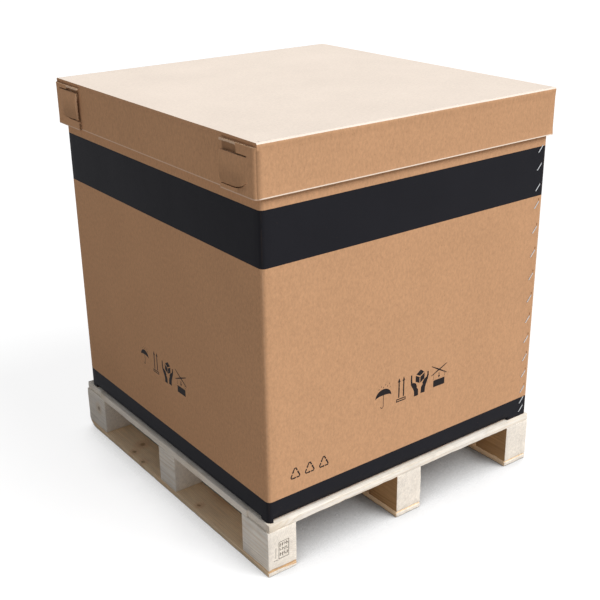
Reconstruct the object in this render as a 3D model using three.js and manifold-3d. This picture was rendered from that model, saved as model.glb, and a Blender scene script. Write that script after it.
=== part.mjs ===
// Bulk pallet box: a nine-block timber pallet, a corrugated sleeve with a
// wire-stitched lap joint, and a telescopic lid with locked corners.
// Millimetres, +Z up, resting on the floor, origin at the foot of the
// bounding box's centre. The wide front faces -Y and the side face -X.

import * as THREE from 'three';
import { mergeVertices } from 'three/addons/utils/BufferGeometryUtils.js';
import Module from 'manifold-3d';

const wasm = await Module();
wasm.setup();

// Pallet sizes
const palletWidth = 804;
const palletDepth = 854;
const bottomBoardThickness = 14;
const blockHeight = 96;
const deckThickness = 18;
const blockWidth = 75;
const cornerBlockDepth = 100;
const middleBlockDepth = 75;
const bottomBoardWidth = 75;
const leadBoardWidth = 80;
const leadBoardSetback = 4;
const lengthBoardWidth = 100;
const entryChamfer = 5;
const wornHeelLength = 34;
const wornHeelHeight = 20;

// Sleeve sizes
const sleeveWidth = 788;
const sleeveDepth = 828;
const sleeveHeight = 815.7;
const sleeveBoard = 7;
const sleeveFoldRadius = 3;
const sleeveForward = 7;
const lapTab = 48;
const lapGap = 0.3;
const flapMeetingGap = 3;
const flapRamp = 18;
const flapSlot = 5;

// Wire stitch sizes
const wireWidth = 2.4;
const wireThickness = 1.2;
const wireBend = 0.6;
const stitchWidth = 13;
const stitchRise = 15;
const stitchEdgeDistance = 16;
const stitchClinch = 6;
const wireClearance = 0.3;
// Heights of the stitches, as shares of the seam
const stitchStations = [
  0.025, 0.054, 0.091, 0.143, 0.198, 0.259, 0.324, 0.39, 0.46,
  0.531, 0.603, 0.677, 0.729, 0.789, 0.84, 0.905, 0.968,
];

// Lid sizes
const lidBoard = 6;
const lidClearance = 4;
const lidSkirt = 107;
const lidFoldRadius = 3;
const lidRest = 0.3;
const cornerFlap = 118;
const cornerRelief = 1;
const strapHeight = 69;
const strapBottom = 20;
const frontStrapDrop = 10;
const strapBulge = 4.5;
const strapRoot = 26;
const strapBend = 50;
const slitWidth = 3;
const lowerSlitRise = 22;
const windowLength = 57;
const windowRound = 8;
const windowStrip = 3.5;

// Finishes of the object's materials
const kraft = { color: 0xb98d66, roughness: 0.9, metalness: 0 };
const pine = { color: 0xded2c0, roughness: 0.85, metalness: 0 };
const steelWire = { color: 0xc9ccd0, roughness: 0.35, metalness: 1 };

// Heights and faces worked out from the sizes
const blockBottom = bottomBoardThickness;
const blockTop = blockBottom + blockHeight;
const deckTop = blockTop + deckThickness;
const sleeveTop = deckTop + sleeveHeight;
const lidTop = sleeveTop + lidRest + lidBoard;
const lidFoot = lidTop - lidSkirt;
const sleeveHalfX = sleeveWidth / 2;
const sleeveHalfY = sleeveDepth / 2;
const lidHalfX = sleeveHalfX + lidClearance + lidBoard;
const lidHalfY = sleeveHalfY + lidClearance + lidBoard;

// The front-to-back places put the bounding box's centre on the origin
const boxCentreY = (lidHalfY - palletDepth / 2 - sleeveForward) / 2;
const palletCentreY = boxCentreY + sleeveForward;

const part = new THREE.Group();

// Solids

// Turns a closed three.js geometry into a solid that can be cut and joined
function solidFrom(geometry) {
  const bare = geometry.clone();
  bare.deleteAttribute('normal');
  bare.deleteAttribute('uv');
  const merged = mergeVertices(bare, 1e-4);
  return new wasm.Manifold(
    new wasm.Mesh({
      numProp: 3,
      vertProperties: new Float32Array(merged.attributes.position.array),
      triVerts: new Uint32Array(merged.index.array),
    })
  );
}

// Turns a solid back into a three.js geometry
function geometryFrom(solid) {
  const mesh = solid.getMesh();
  const geometry = new THREE.BufferGeometry();
  geometry.setAttribute('position', new THREE.BufferAttribute(mesh.vertProperties, 3));
  geometry.setIndex(new THREE.BufferAttribute(mesh.triVerts, 1));
  geometry.computeVertexNormals();
  return geometry;
}

// A box from its lowest corner to its highest
function boxBetween(low, high) {
  const size = high.map((value, axis) => value - low[axis]);
  const geometry = new THREE.BoxGeometry(...size);
  const middle = high.map((value, axis) => (value + low[axis]) / 2);
  geometry.translate(...middle);
  return geometry;
}

// Extrudes a plan shape (x, y) upwards from one height to another
function standing(shape, bottom, top) {
  const geometry = new THREE.ExtrudeGeometry(shape, { depth: top - bottom, bevelEnabled: false });
  geometry.translate(0, 0, bottom);
  return geometry;
}

// Extrudes an elevation shape (x, z) along Y between two places
function alongY(shape, from, to) {
  const geometry = new THREE.ExtrudeGeometry(shape, { depth: to - from, bevelEnabled: false });
  geometry.rotateX(Math.PI / 2);
  geometry.translate(0, to, 0);
  return geometry;
}

// Extrudes a side shape (y, z) along X between two places
function alongX(shape, from, to) {
  const geometry = new THREE.ExtrudeGeometry(shape, { depth: to - from, bevelEnabled: false });
  geometry.rotateX(Math.PI / 2);
  geometry.rotateZ(Math.PI / 2);
  geometry.translate(from, 0, 0);
  return geometry;
}

function addPart(name, geometry, finish) {
  const mesh = new THREE.Mesh(geometry, new THREE.MeshStandardMaterial(finish));
  mesh.name = name;
  part.add(mesh);
  return mesh;
}

// Folded board

const foldSteps = 3;

// The outline of a board that runs along a centre line of straight stretches
// and is folded to a round at each corner. The fold's inside radius is given.
function boardOutline(corners, thickness, insideRadius) {
  const half = thickness / 2;
  const radius = insideRadius + half;
  const points = corners.map(([x, y]) => new THREE.Vector2(x, y));
  const stations = [];
  points.forEach((point, index) => {
    const before = points[index - 1];
    const after = points[index + 1];
    if (!before || !after) {
      const heading = before ? point.clone().sub(before) : after.clone().sub(point);
      stations.push({ point, angle: heading.angle() });
      return;
    }
    const entry = point.clone().sub(before).normalize();
    const exit = after.clone().sub(point).normalize();
    const turn = Math.atan2(entry.cross(exit), entry.dot(exit));
    const setback = radius * Math.tan(Math.abs(turn) / 2);
    const start = point.clone().addScaledVector(entry, -setback);
    const side = new THREE.Vector2(-entry.y, entry.x).multiplyScalar(Math.sign(turn) * radius);
    const centre = start.clone().add(side);
    for (let step = 0; step <= foldSteps; step += 1) {
      const swept = (turn * step) / foldSteps;
      const spoke = side.clone().negate().rotateAround(new THREE.Vector2(), swept);
      stations.push({ point: centre.clone().add(spoke), angle: entry.angle() + swept });
    }
  });
  const offset = ({ point, angle }, distance) =>
    new THREE.Vector2(point.x - Math.sin(angle) * distance, point.y + Math.cos(angle) * distance);
  const left = stations.map((station) => offset(station, half));
  const right = stations.map((station) => offset(station, -half)).reverse();
  return new THREE.Shape([...left, ...right]);
}

// Timber pallet

// Centre of each column of blocks, from left to right
const columnCentres = {
  left: (blockWidth - palletWidth) / 2,
  middle: 0,
  right: (palletWidth - blockWidth) / 2,
};
const palletFront = palletCentreY - palletDepth / 2;
const palletBack = palletCentreY + palletDepth / 2;
const rows = {
  front: { from: palletFront, to: palletFront + cornerBlockDepth },
  middle: { from: palletCentreY - middleBlockDepth / 2, to: palletCentreY + middleBlockDepth / 2 },
  rear: { from: palletBack - cornerBlockDepth, to: palletBack },
};

// The worn heel of the left rear corner, where board and block are rubbed away
function wornHeel() {
  const wedge = new THREE.Shape();
  wedge.moveTo(palletBack - wornHeelLength, -1);
  wedge.lineTo(palletBack - wornHeelLength, 0);
  wedge.quadraticCurveTo(palletBack - wornHeelLength / 4, wornHeelHeight / 5, palletBack, wornHeelHeight);
  wedge.lineTo(palletBack + 1, wornHeelHeight);
  wedge.lineTo(palletBack + 1, -1);
  wedge.closePath();
  return alongX(wedge, -palletWidth / 2 - 1, -palletWidth / 2 + blockWidth + 1);
}

// A bottom board, with its top arris taken off at both ends for the forks
function bottomBoard(column) {
  const side = new THREE.Shape();
  side.moveTo(palletFront, 0);
  side.lineTo(palletBack, 0);
  side.lineTo(palletBack, bottomBoardThickness - entryChamfer);
  side.lineTo(palletBack - entryChamfer, bottomBoardThickness);
  side.lineTo(palletFront + entryChamfer, bottomBoardThickness);
  side.lineTo(palletFront, bottomBoardThickness - entryChamfer);
  side.closePath();
  const centre = columnCentres[column];
  return alongX(side, centre - bottomBoardWidth / 2, centre + bottomBoardWidth / 2);
}

function palletBlock(column, row) {
  const centre = columnCentres[column];
  const { from, to } = rows[row];
  return boxBetween([centre - blockWidth / 2, from, blockBottom], [centre + blockWidth / 2, to, blockTop]);
}

const heel = solidFrom(wornHeel());
for (const column of Object.keys(columnCentres)) {
  const worn = column === 'left';
  const board = bottomBoard(column);
  const boardShape = worn ? geometryFrom(solidFrom(board).subtract(heel)) : board;
  addPart(`bottom_board_${column}`, boardShape, pine);
  for (const row of Object.keys(rows)) {
    const block = palletBlock(column, row);
    const rubbed = worn && row === 'rear';
    addPart(`block_${row}_${column}`, rubbed ? geometryFrom(solidFrom(block).subtract(heel)) : block, pine);
  }
}

// Lead boards run across the front and rear, set back from the left blocks
const leadFrom = -palletWidth / 2 + leadBoardSetback;
const leadTo = palletWidth / 2;
addPart(
  'lead_board_front',
  boxBetween([leadFrom, palletFront, blockTop], [leadTo, palletFront + leadBoardWidth, deckTop]),
  pine
);
addPart(
  'lead_board_rear',
  boxBetween([leadFrom, palletBack - leadBoardWidth, blockTop], [leadTo, palletBack, deckTop]),
  pine
);

// Length boards lie between the lead boards, one over each column of blocks
const lengthBoardStart = {
  left: -palletWidth / 2,
  middle: -lengthBoardWidth / 2,
  right: palletWidth / 2 - lengthBoardWidth,
};
const lengthBoardFront = palletFront + leadBoardWidth;
const lengthBoardRear = palletBack - leadBoardWidth;
for (const [column, start] of Object.entries(lengthBoardStart)) {
  const low = [start, lengthBoardFront, blockTop];
  const high = [start + lengthBoardWidth, lengthBoardRear, deckTop];
  addPart(`deck_board_${column}`, boxBetween(low, high), pine);
}

// Corrugated sleeve

const board = sleeveBoard;
const halfBoard = board / 2;
const tabLayer = board + lapGap;
const foldReach = sleeveFoldRadius + board;

// Plan of the four panels: from the front panel's raw edge on the right,
// round all four folds, to the lap tab inside the front panel
function panelPlan() {
  const outX = sleeveHalfX - halfBoard;
  const outY = sleeveHalfY - halfBoard;
  const corners = [
    [sleeveHalfX, -outY],
    [-outX, -outY],
    [-outX, outY],
    [outX, outY],
    [outX, -outY + tabLayer],
    [sleeveHalfX - lapTab, -outY + tabLayer],
  ];
  return boardOutline(corners, board, sleeveFoldRadius);
}

// A base flap under a side panel: it folds in flat on the pallet.
// The shape is drawn from the panel's outer face at zero, inwards along x.
function outerFlapSection() {
  const corners = [
    [halfBoard, deckTop + 2 * foldReach],
    [halfBoard, deckTop + halfBoard],
    [sleeveHalfX - flapMeetingGap / 2, deckTop + halfBoard],
  ];
  return boardOutline(corners, board, sleeveFoldRadius);
}

// A base flap under the front or rear panel: it climbs onto the outer flaps
function innerFlapSection() {
  const upper = deckTop + board + lapGap + halfBoard;
  const corners = [
    [halfBoard, deckTop + 2 * foldReach],
    [halfBoard, deckTop + halfBoard],
    [halfBoard + flapRamp, upper],
    [sleeveHalfX - flapMeetingGap / 2, upper],
  ];
  return boardOutline(corners, board, sleeveFoldRadius);
}

// Each stitch slopes up towards the seam. Its own frame has x along the
// crown, y into the board from the panel's face, and z across the wire.
const crownHalf = Math.hypot(stitchWidth, stitchRise) / 2;
const stitchFrames = stitchStations.map((share) => {
  const along = new THREE.Vector3(stitchWidth, 0, stitchRise).normalize();
  const inward = new THREE.Vector3(0, 1, 0);
  const across = along.clone().cross(inward);
  const frame = new THREE.Matrix4().makeBasis(along, inward, across);
  const height = deckTop + share * sleeveHeight;
  return frame.setPosition(sleeveHalfX - stitchEdgeDistance, -sleeveHalfY, height);
});

// The hole through panel and tab for one leg, at -1 or 1 along the crown
function legHole(frame, end) {
  const depth = board + tabLayer + 2;
  const geometry = new THREE.BoxGeometry(
    wireThickness + 2 * wireClearance,
    depth,
    wireWidth + 2 * wireClearance
  );
  geometry.translate(end * crownHalf, depth / 2 - 1, 0);
  return geometry.applyMatrix4(frame);
}

function sleeve() {
  let body = solidFrom(standing(panelPlan(), deckTop, sleeveTop));

  // Each flap takes the place of the square foot of its panel
  const outerFlapHalf = sleeveHalfY - flapRamp - foldReach;
  const innerFlapHalf = sleeveHalfX - board - flapSlot;
  const footX = boxBetween(
    [-sleeveHalfX - 1, -outerFlapHalf, deckTop - 1],
    [-sleeveHalfX + board, outerFlapHalf, deckTop + foldReach]
  );
  const footY = boxBetween(
    [-innerFlapHalf, -sleeveHalfY - 1, deckTop - 1],
    [innerFlapHalf - lapTab, -sleeveHalfY + board, deckTop + foldReach]
  );
  const outerFlap = alongY(outerFlapSection(), -outerFlapHalf, outerFlapHalf);
  outerFlap.translate(-sleeveHalfX, 0, 0);
  const innerFlap = alongY(innerFlapSection(), lapTab - innerFlapHalf, innerFlapHalf);
  innerFlap.rotateZ(Math.PI / 2);
  innerFlap.translate(0, -sleeveHalfY, 0);
  for (const turned of [0, Math.PI]) {
    for (const [foot, flap] of [[footX, outerFlap], [footY, innerFlap]]) {
      const cutter = foot.clone().rotateZ(turned);
      const added = flap.clone().rotateZ(turned);
      body = body.subtract(solidFrom(cutter)).add(solidFrom(added));
    }
  }
  for (const frame of stitchFrames) {
    body = body.subtract(solidFrom(legHole(frame, -1)));
    body = body.subtract(solidFrom(legHole(frame, 1)));
  }
  return geometryFrom(body);
}

const sleeveMesh = addPart('sleeve', sleeve(), kraft);
sleeveMesh.position.y = boxCentreY;

// Wire stitches

// One stitch of flat wire: a crown outside, two legs through the board, and
// their ends clinched towards each other inside
function stitch(frame) {
  const seat = wireClearance + wireThickness / 2;
  const outside = -seat;
  const inside = board + tabLayer + seat;
  const route = [
    [stitchClinch - crownHalf, inside],
    [-crownHalf, inside],
    [-crownHalf, outside],
    [crownHalf, outside],
    [crownHalf, inside],
    [crownHalf - stitchClinch, inside],
  ];
  const wire = standing(boardOutline(route, wireThickness, wireBend), -wireWidth / 2, wireWidth / 2);
  return wire.applyMatrix4(frame);
}

stitchFrames.forEach((frame, index) => {
  const mesh = addPart(`wire_stitch_${index + 1}`, stitch(frame), steelWire);
  mesh.position.y = boxCentreY;
});

// Telescopic lid

const halfLid = lidBoard / 2;
const lidReach = lidFoldRadius + lidBoard;
const flapTop = lidTop - lidReach;

// The lid's section: a flange, the top, and the flange opposite
function lidSection(halfWidth) {
  const side = halfWidth - halfLid;
  const corners = [
    [-side, lidFoot],
    [-side, lidTop - halfLid],
    [side, lidTop - halfLid],
    [side, lidFoot],
  ];
  return boardOutline(corners, lidBoard, lidFoldRadius);
}

// Plan of the front flange, wrapped round both corners onto the side flanges
const flapFace = lidHalfX + lidRest + halfLid;
const flapEnd = -lidHalfY + cornerFlap;
function wrapPlan() {
  const corners = [
    [-flapFace, flapEnd],
    [-flapFace, -lidHalfY + halfLid],
    [flapFace, -lidHalfY + halfLid],
    [flapFace, flapEnd],
  ];
  return boardOutline(corners, lidBoard, lidFoldRadius);
}

const strapStart = -lidHalfY + strapRoot;

// The outline of the strap or of its slits, from the height of the lower slit:
// level from the free end, then curving up towards the fold. The lift is the
// slit's width on the strap, and zero on the slits themselves.
function strapOutline(strapFoot, lift) {
  const strapTop = strapFoot + strapHeight;
  const side = new THREE.Shape();
  side.moveTo(flapEnd + 1 - lift, strapFoot + lift);
  side.lineTo(strapStart + strapBend, strapFoot + lift);
  side.quadraticCurveTo(
    strapStart + strapBend / 3,
    strapFoot + lift,
    strapStart - (lift ? lidBoard : 0),
    strapFoot + lift + lowerSlitRise
  );
  side.lineTo(strapStart - (lift ? lidBoard : 0), strapTop - lift);
  side.lineTo(flapEnd + 1 - lift, strapTop - lift);
  side.closePath();
  return side;
}

// The window that the sagging strap leaves above its free end, under a thin
// strip of the flap's top edge
function windowOutline(strapFoot) {
  const bottom = strapFoot + strapHeight - slitWidth;
  const top = flapTop - windowStrip;
  const root = flapEnd - windowLength;
  const side = new THREE.Shape();
  side.moveTo(flapEnd + 1, bottom);
  side.lineTo(root, bottom);
  side.lineTo(root, Math.max(bottom, top - windowRound));
  side.quadraticCurveTo(root, top, root + windowRound, top);
  side.lineTo(flapEnd + 1, top);
  side.closePath();
  return side;
}

// Extrudes a side shape through the flap on one hand, outwards past the strap
function throughFlap(side, hand) {
  const faces = [hand * (flapFace - lidBoard), hand * (flapFace + strapBulge + lidBoard)];
  return solidFrom(alongX(side, Math.min(...faces), Math.max(...faces)));
}

// The strap: it leaves the flap at its root and bows outwards to its free end
function strap(strapFoot, hand) {
  const plan = [
    [hand * flapFace, strapStart - 2 * lidBoard],
    [hand * flapFace, strapStart],
    [hand * (flapFace + strapBulge), strapStart + strapBend / 2],
    [hand * (flapFace + strapBulge), flapEnd],
  ];
  const bow = standing(boardOutline(plan, lidBoard, lidFoldRadius), strapFoot, strapFoot + strapHeight);
  return solidFrom(bow).intersect(throughFlap(strapOutline(strapFoot, slitWidth), hand));
}

// A flange wrapped round two corners, with a strap pressed out of each flap
function wrappedFlange(strapDrop) {
  const strapFoot = lidFoot + strapBottom - strapDrop;
  let wrap = solidFrom(standing(wrapPlan(), lidFoot, flapTop));
  for (const hand of [-1, 1]) {
    wrap = wrap
      .subtract(throughFlap(strapOutline(strapFoot, 0), hand))
      .subtract(throughFlap(windowOutline(strapFoot), hand))
      .add(strap(strapFoot, hand));
  }
  return geometryFrom(wrap);
}

function lid() {
  const sideReach = lidHalfY - lidBoard - cornerRelief;
  const sideSection = alongY(lidSection(lidHalfX), -sideReach, sideReach);
  const frontSection = alongY(lidSection(lidHalfY), -lidHalfX, lidHalfX);
  frontSection.rotateZ(Math.PI / 2);
  let body = solidFrom(sideSection).add(solidFrom(frontSection));
  body = body.add(solidFrom(wrappedFlange(frontStrapDrop)));
  body = body.add(solidFrom(wrappedFlange(0).rotateZ(Math.PI)));
  return geometryFrom(body);
}

const lidMesh = addPart('lid', lid(), kraft);
lidMesh.position.y = boxCentreY;

export default part;
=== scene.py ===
"""The looks of a bulk pallet box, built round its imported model.

Boards, blocks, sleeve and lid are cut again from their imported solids, with
eased and worn edges and uneven board. Printed marks, nails, fluted edges and
torn paper are added on them. Metres, +Z up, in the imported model's frame.
"""

import logging
import math
import random
from dataclasses import dataclass, field, replace
from enum import Enum, IntEnum
from typing import Callable, Iterable, Mapping, Sequence, Union

import bmesh
import bpy
from mathutils import Matrix, Vector, noise


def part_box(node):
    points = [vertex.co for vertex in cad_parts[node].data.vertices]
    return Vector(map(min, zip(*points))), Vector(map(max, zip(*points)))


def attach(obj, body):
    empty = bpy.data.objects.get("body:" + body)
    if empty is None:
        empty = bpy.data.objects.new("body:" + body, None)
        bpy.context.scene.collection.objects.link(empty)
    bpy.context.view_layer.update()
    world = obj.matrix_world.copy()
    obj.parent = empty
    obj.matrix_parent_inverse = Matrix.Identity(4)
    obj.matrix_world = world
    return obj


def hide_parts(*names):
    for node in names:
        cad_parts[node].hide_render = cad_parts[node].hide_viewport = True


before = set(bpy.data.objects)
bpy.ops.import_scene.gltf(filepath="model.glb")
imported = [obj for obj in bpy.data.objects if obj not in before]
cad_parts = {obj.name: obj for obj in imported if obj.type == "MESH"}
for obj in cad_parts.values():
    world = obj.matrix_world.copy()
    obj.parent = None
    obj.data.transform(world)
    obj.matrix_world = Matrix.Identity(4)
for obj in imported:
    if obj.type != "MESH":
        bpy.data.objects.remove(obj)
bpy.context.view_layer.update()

log = logging.getLogger("pallet_box")

MM = 0.001
JOIN_DISTANCE = 0.01 * MM
FLAT_ANGLE = math.radians(0.4)
SMOOTH_ANGLE = math.radians(38)
SQUARE_ON = 0.9

Colour = tuple[float, float, float, float]
Point = tuple[float, float]
Value = Union["Term", float]


def srgb(red: int, green: int, blue: int) -> Colour:
    """Turns a colour seen on a screen into the linear colour that a shader takes.

    Args:
        red: Red from 0 to 255.
        green: Green from 0 to 255.
        blue: Blue from 0 to 255.

    Returns:
        The linear colour, with an alpha of one.
    """
    linear = []
    for channel in (red, green, blue):
        share = channel / 255
        linear.append(share / 12.92 if share <= 0.04045 else ((share + 0.055) / 1.055) ** 2.4)
    return (linear[0], linear[1], linear[2], 1.0)


class Axis(Enum):
    """One axis of the part's frame."""

    X = 0
    Y = 1
    Z = 2

    @property
    def direction(self) -> Vector:
        """The axis as a vector of length one."""
        return Vector([float(index == self.value) for index in range(3)])


class Body(Enum):
    """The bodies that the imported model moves."""

    PALLET_BOX = "pallet_box"
    LID = "lid"


class Slot(Enum):
    """The record's material slots."""

    TIMBER = "timber"
    SLEEVE_BOARD = "sleeve_board"
    LID_BOARD = "lid_board"
    STITCH_WIRE = "stitch_wire"


def maths_method(operation: str, reflected: bool = False) -> Callable[..., "Term"]:
    """Makes a method of a term that adds one Math node.

    Args:
        operation: The Math node's operation.
        reflected: Whether the term stands on the right, after a number.

    Returns:
        The method.
    """

    def method(term: "Term", *others: Value) -> "Term":
        """The operation on the term and any other value."""
        values = (*others, term) if reflected else (term, *others)
        return term.graph.maths(operation, *values)

    return method


class Term:
    """A value in a shader, which stands in a plain Python expression."""

    __add__ = maths_method("ADD")
    __radd__ = maths_method("ADD", reflected=True)
    __sub__ = maths_method("SUBTRACT")
    __rsub__ = maths_method("SUBTRACT", reflected=True)
    __mul__ = maths_method("MULTIPLY")
    __rmul__ = maths_method("MULTIPLY", reflected=True)
    __truediv__ = maths_method("DIVIDE")
    __rtruediv__ = maths_method("DIVIDE", reflected=True)
    __abs__ = maths_method("ABSOLUTE")
    sine = maths_method("SINE")
    root = maths_method("SQRT")
    fraction = maths_method("FRACT")
    least = maths_method("MINIMUM")
    most = maths_method("MAXIMUM")

    def __init__(self, graph: "Graph", socket: bpy.types.NodeSocket) -> None:
        """Wraps an output socket of a node in the graph."""
        self.graph = graph
        self.socket = socket

    def rise(self, low: float, high: float) -> "Term":
        """A smooth step between two values.

        Args:
            low: Where the step is still zero.
            high: Where the step has reached one. It may be the smaller number.

        Returns:
            A value from zero to one.
        """
        return self.graph.node(
            "ShaderNodeMapRange",
            {"interpolation_type": "SMOOTHSTEP"},
            {"Value": self, "From Min": low, "From Max": high},
        )

    def between(self, low: float, high: float, soft: float) -> "Term":
        """One between two values and zero outside them, with soft steps inside."""
        return (self - low).rise(0, soft) * (high - self).rise(0, soft)


class Graph:
    """The node graph of a material or of the world, built from expressions on terms."""

    def __init__(self, tree: bpy.types.NodeTree) -> None:
        """Takes over an empty node tree."""
        self.tree = tree
        self.material: bpy.types.Material | None = None
        self.tree.nodes.clear()

    @classmethod
    def of_material(cls, name: str) -> "Graph":
        """Starts the graph of a new material of that name."""
        material = bpy.data.materials.new(name)
        material.use_nodes = True
        graph = cls(material.node_tree)
        graph.material = material
        return graph

    @staticmethod
    def _socket(sockets: Iterable[bpy.types.NodeSocket], key: Union[str, int]) -> bpy.types.NodeSocket:
        """Finds a node's socket by its place, its identifier or its name."""
        if isinstance(key, int):
            return sockets[key]
        named = [s for s in sockets if s.identifier == key]
        return (named or [s for s in sockets if s.name == key and s.enabled])[0]

    def node(
        self,
        kind: str,
        settings: Mapping[str, object] | None = None,
        inputs: Mapping[Union[str, int], object] | None = None,
        output: Union[str, int] = 0,
    ) -> Term:
        """Adds one node.

        Args:
            kind: The node's type.
            settings: Its settings, which are set before its sockets.
            inputs: A value or a term for each socket that is used.
            output: The socket that the node is read from.

        Returns:
            The node's output.
        """
        made = self._placed(kind, settings or {}, inputs or {})
        return Term(self, self._socket(made.outputs, output))

    def end(self, kind: str, surface: Term) -> None:
        """Adds the node that the graph ends in.

        Args:
            kind: The output node's type.
            surface: The shader that it shows.
        """
        self._placed(kind, {}, {"Surface": surface})

    def _placed(
        self, kind: str, settings: Mapping[str, object], inputs: Mapping[Union[str, int], object]
    ) -> bpy.types.Node:
        """Adds a node with its settings, values and links."""
        made = self.tree.nodes.new(kind)
        for key, value in settings.items():
            setattr(made, key, value)
        for key, value in inputs.items():
            socket = self._socket(made.inputs, key)
            if isinstance(value, Term):
                self.tree.links.new(value.socket, socket)
            else:
                socket.default_value = value
        return made

    def maths(self, operation: str, *values: Value) -> Term:
        """Adds a Math node for one operation on values."""
        return self.node("ShaderNodeMath", {"operation": operation}, dict(enumerate(values)))

    def place(self) -> Term:
        """The point on the piece, in metres in the part's frame."""
        return self.node("ShaderNodeTexCoord", output="Object")

    def stretched(self, vector: Term, scale: Sequence[float]) -> Term:
        """A vector with each axis multiplied by its own number."""
        return self.node("ShaderNodeVectorMath", {"operation": "MULTIPLY"}, {0: vector, 1: tuple(scale)})

    def parts(self, vector: Term) -> tuple[Term, Term, Term]:
        """The three numbers of a vector."""
        split = self.node("ShaderNodeSeparateXYZ", inputs={"Vector": vector})
        outputs = split.socket.node.outputs
        return Term(self, outputs[0]), Term(self, outputs[1]), Term(self, outputs[2])

    def vector(self, x: Value, y: Value, z: Value) -> Term:
        """A vector from three numbers."""
        return self.node("ShaderNodeCombineXYZ", inputs={"X": x, "Y": y, "Z": z})

    def attribute(self, name: str, output: str = "Vector") -> Term:
        """An attribute that the piece's mesh carries."""
        return self.node("ShaderNodeAttribute", {"attribute_name": name}, output=output)

    def noise(self, vector: Term, scale: float, detail: float = 2.0, roughness: float = 0.5) -> Term:
        """Smooth noise.

        Args:
            vector: Where the noise is read.
            scale: How many cells a metre holds.
            detail: How many finer layers are added.
            roughness: How much the finer layers weigh.

        Returns:
            A value round one half.
        """
        values = {"Vector": vector, "Scale": scale, "Detail": detail, "Roughness": roughness}
        return self.node("ShaderNodeTexNoise", inputs=values)

    def mix(
        self, factor: Value, first: Union[Term, Colour], second: Union[Term, Colour], blend: str = "MIX"
    ) -> Term:
        """A colour between two colours.

        Args:
            factor: Zero for the first colour and one for the second.
            first: The first colour.
            second: The second colour.
            blend: How the second goes over the first.

        Returns:
            The mixed colour.
        """
        settings = {"data_type": "RGBA", "blend_type": blend}
        values = {"Factor_Float": factor, "A_Color": first, "B_Color": second}
        return self.node("ShaderNodeMix", settings, values, "Result_Color")

    def shaded(self, colour: Union[Term, Colour], factor: Value) -> Term:
        """A colour multiplied by a number."""
        grey = self.node("ShaderNodeCombineColor", inputs={"Red": factor, "Green": factor, "Blue": factor})
        return self.mix(1.0, colour, grey, "MULTIPLY")

    def surface(
        self,
        colour: Union[Term, Colour],
        roughness: Value,
        height: Term | None = None,
        metallic: Value = 0.0,
        specular: float = 0.5,
    ) -> bpy.types.Material:
        """Ends the graph in a Principled surface.

        Args:
            colour: The surface's own colour.
            roughness: Its roughness.
            height: Its relief in metres, or none.
            metallic: One for bare metal.
            specular: How strongly it mirrors, for what isn't metal.

        Returns:
            The finished material.
        """
        values = {
            "Base Color": colour,
            "Roughness": roughness,
            "Metallic": metallic,
            "Specular IOR Level": specular,
        }
        if height is not None:
            relief = {"Height": height, "Distance": 1.0, "Strength": 1.0}
            values["Normal"] = self.node("ShaderNodeBump", inputs=relief)
        shader = self.node("ShaderNodeBsdfPrincipled", inputs=values)
        self.end("ShaderNodeOutputMaterial", shader)
        return self.material


@dataclass(frozen=True)
class Recipe:
    """What one material is made from."""

    name: str

    def make(self) -> bpy.types.Material:
        """Builds the material.

        Returns:
            The finished material.
        """
        graph = Graph.of_material(self.name)
        return self._paint(graph, graph.place())


@dataclass(frozen=True)
class PrintedBand:
    """A flood of black ink round the sleeve, between two heights."""

    low: float
    high: float


@dataclass(frozen=True)
class Recess:
    """A place behind a cut-out, where shade is painted on the board."""

    low_y: float
    high_y: float
    low_z: float
    high_z: float
    reach_x: float


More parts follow.
